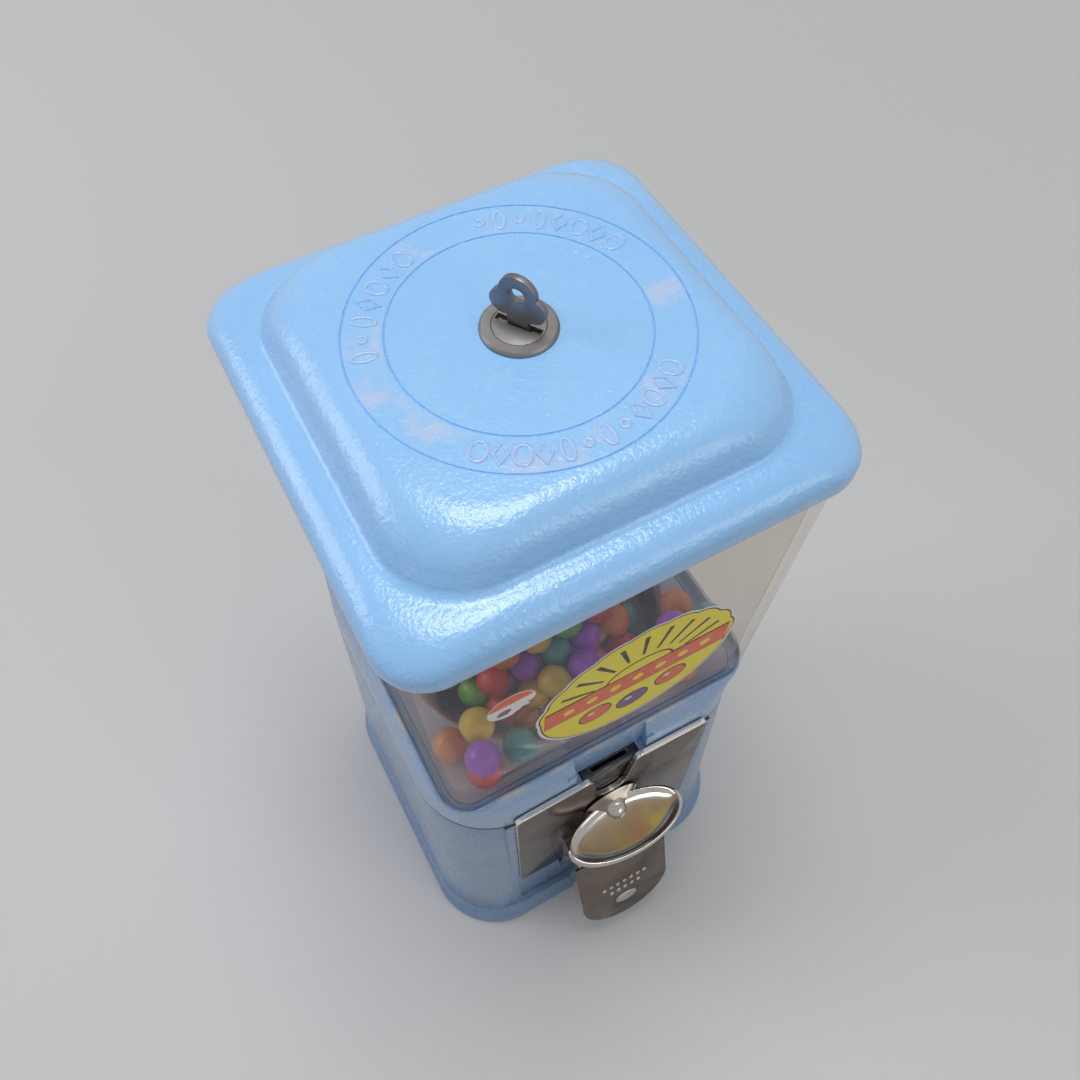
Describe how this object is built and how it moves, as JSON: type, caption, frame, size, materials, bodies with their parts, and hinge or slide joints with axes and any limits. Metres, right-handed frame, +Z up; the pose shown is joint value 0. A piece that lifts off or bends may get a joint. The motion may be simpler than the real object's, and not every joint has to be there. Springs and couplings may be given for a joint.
{
  "type": "gumball machine",
  "caption": "Countertop coin-operated gumball machine with a cast blue housing, chromed coin mechanism, square glass globe, and a lid locked to a centre rod.",
  "frame": {"origin": "centre of the foot, on the counter", "axes": "+Z up, the coin mechanism faces -Y, +X to the right seen from the front"},
  "size_m": [0.196, 0.2282, 0.4485],
  "materials": {
    "blue_paint": "gloss enamel on a casting",
    "chrome": "polished plating",
    "steel": "zinc plated",
    "dark_steel": "oiled",
    "brass": "turned",
    "globe_glass": "clear, slightly frosted by wear",
    "gasket_rubber": "matte",
    "bare_casting": "as cast, stained brown by the sweets",
    "black_enamel": "satin enamel",
    "wheel_plastic": "moulded",
    "candy": "sugar glaze in several colours"
  },
  "bodies": {
    "root": {"base_plate": "blue_paint", "base_screws": "dark_steel", "lower_housing": "blue_paint", "collar": "blue_paint", "hopper": "bare_casting", "wheel_floor": "steel", "floor_screws": "dark_steel", "wheel_clip": "brass", "ball_guard": "steel", "globe": "globe_glass", "centre_rod": "steel", "rod_socket": "brass", "front_plate": "chrome", "mech_frame": "steel", "mech_nuts": "dark_steel", "coin_guide": "black_enamel", "chute": "steel", "spout": "chrome", "flap_pin": "dark_steel", "coin_tray": "steel", "gumballs": "candy"},
    "lid": {"lid": "blue_paint", "lid_gasket": "gasket_rubber", "lock_case": "chrome", "lock_nut": "dark_steel"},
    "lock": {"lock_plug": "chrome"},
    "key": {"key": "dark_steel"},
    "handle": {"handle": "chrome", "handle_shaft": "steel", "coin_wheel": "black_enamel", "ratchet": "steel", "pinion": "brass"},
    "wheel": {"ball_wheel": "wheel_plastic"},
    "pawl": {"pawl": "steel"},
    "flap": {"chute_flap": "chrome"}
  },
  "joints": [
    {"name": "lid_lift", "type": "slide", "parent": "root", "child": "lid", "axis": [0, 0, 1], "range_m": [0, 0.06]},
    {"name": "lock_turn", "type": "hinge", "parent": "lid", "child": "lock", "pos_m": [0, 0, 0.43], "axis": [0, 0, 1], "range_deg": [0, 90]},
    {"name": "key_pull", "type": "slide", "parent": "lock", "child": "key", "axis": [0, 0, 1], "range_m": [0, 0.024]},
    {"name": "handle_turn", "type": "hinge", "parent": "root", "child": "handle", "pos_m": [0, -0.09, 0.1517], "axis": [0, 1, 0], "continuous": true},
    {"name": "wheel_turn", "type": "hinge", "parent": "root", "child": "wheel", "pos_m": [0, 0, 0.17], "axis": [0, 0, 1], "continuous": true},
    {"name": "pawl_lift", "type": "hinge", "parent": "root", "child": "pawl", "pos_m": [0.019, -0.0737, 0.1767], "axis": [0, -1, 0], "range_deg": [0, 8], "stiffness_Nm_per_rad": 0.05},
    {"name": "flap_swing", "type": "hinge", "parent": "root", "child": "flap", "pos_m": [0, -0.105, 0.1125], "axis": [-1, 0, 0], "range_deg": [0, 50]}
  ],
  "couplings": [
    {"joint": "wheel_turn", "follows": "handle_turn", "ratio": 0.2}
  ]
}
